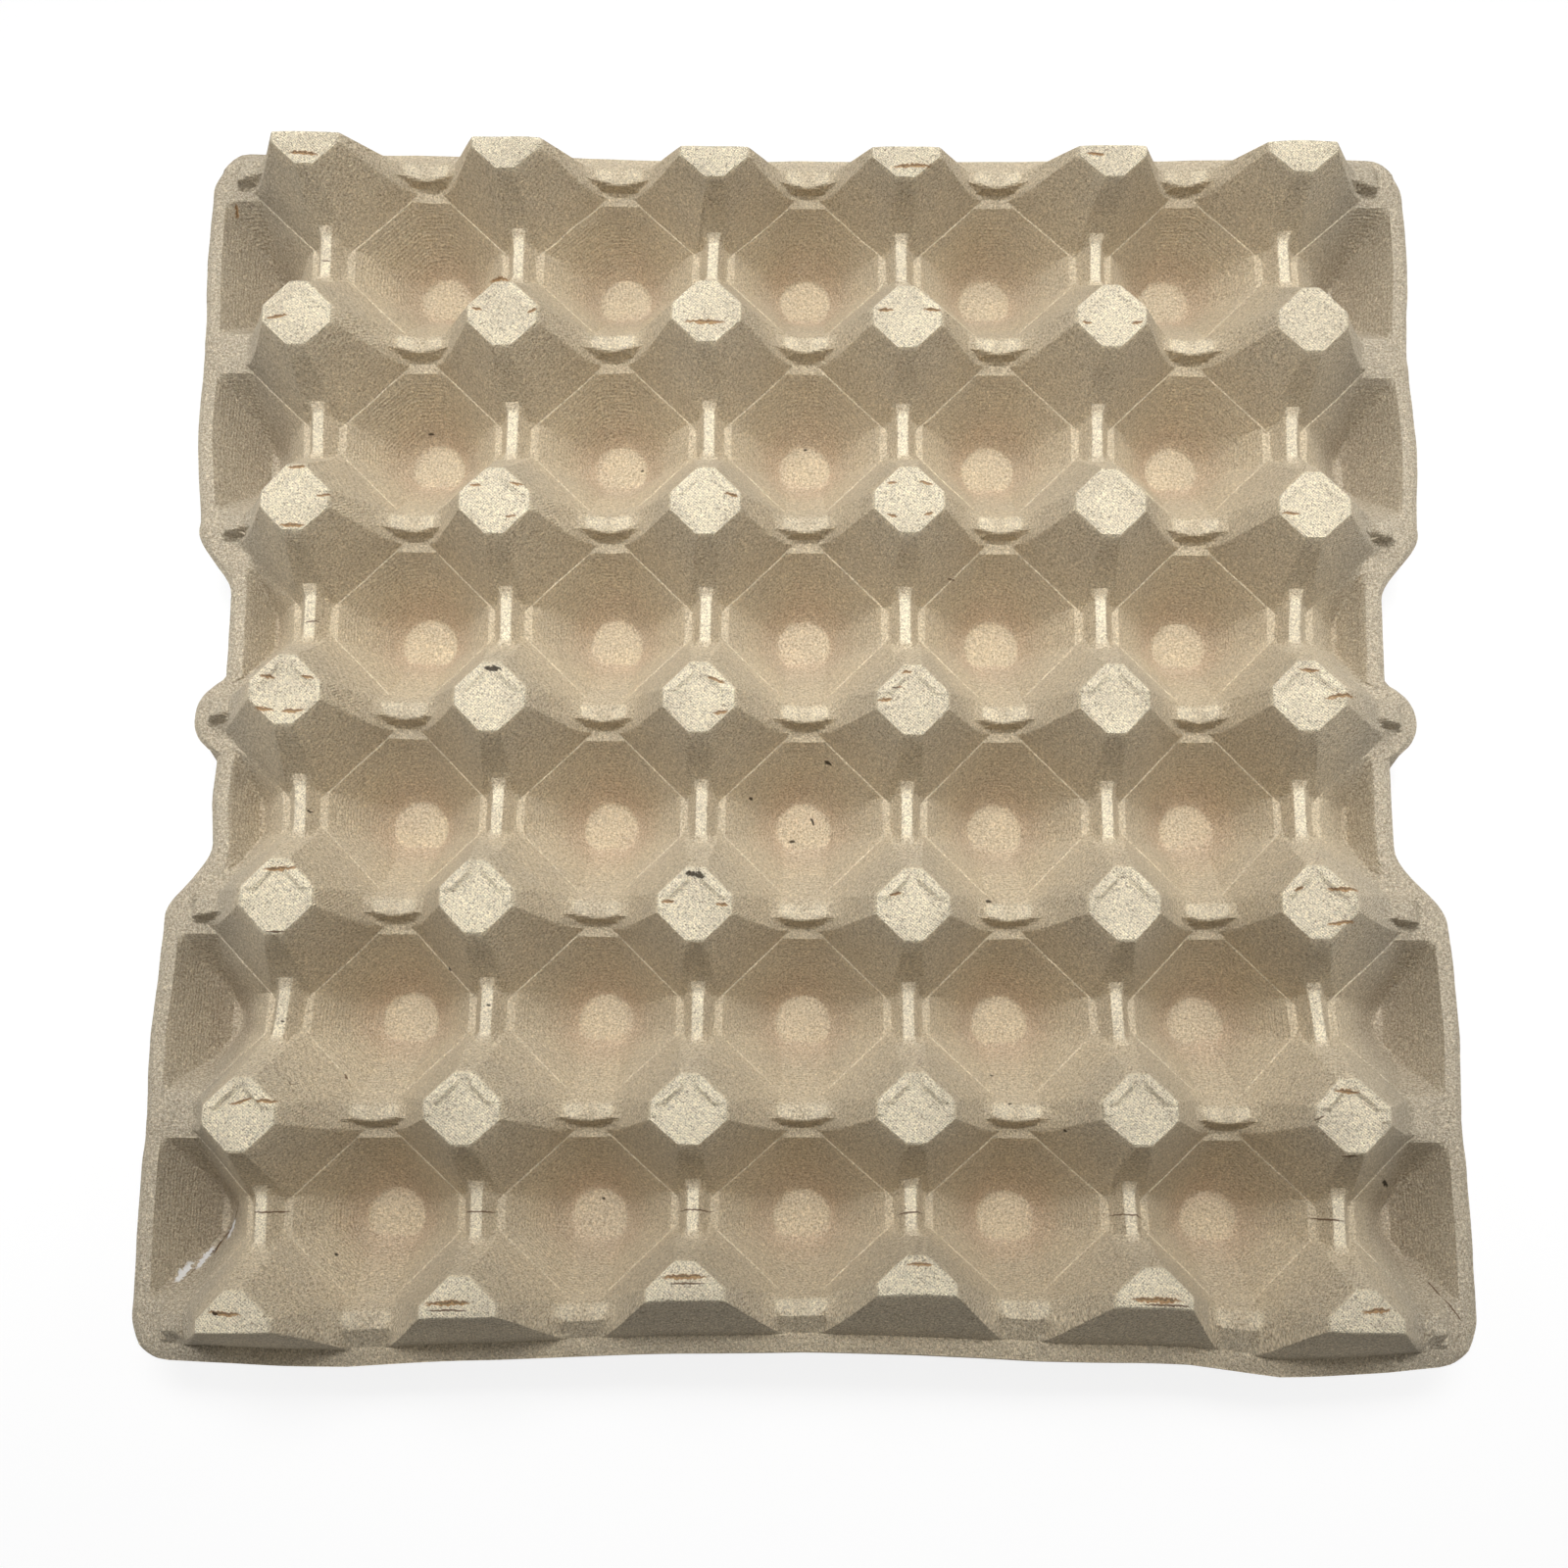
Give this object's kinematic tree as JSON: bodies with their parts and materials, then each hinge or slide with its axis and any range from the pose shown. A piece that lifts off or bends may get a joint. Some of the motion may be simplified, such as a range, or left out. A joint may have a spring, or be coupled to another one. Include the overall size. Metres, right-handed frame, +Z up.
{
  "type": "pulp egg tray",
  "caption": "Square moulded pulp tray with a grid of egg cups between hollow posts, ribs joining the posts, half pockets along both sides and notched finger edges.",
  "frame": {"origin": "middle of the tray's underside, at the height of the undersides of the cups, on which it stands", "axes": "+Z up, out of the cups; +X to the right, across the two notched sides; +Y from front to back, along the notched sides"},
  "size_m": [0.3014, 0.298, 0.045],
  "materials": {
    "pulp": "matt, fibrous"
  },
  "bodies": {
    "root": {"tray": "pulp"}
  },
  "joints": []
}
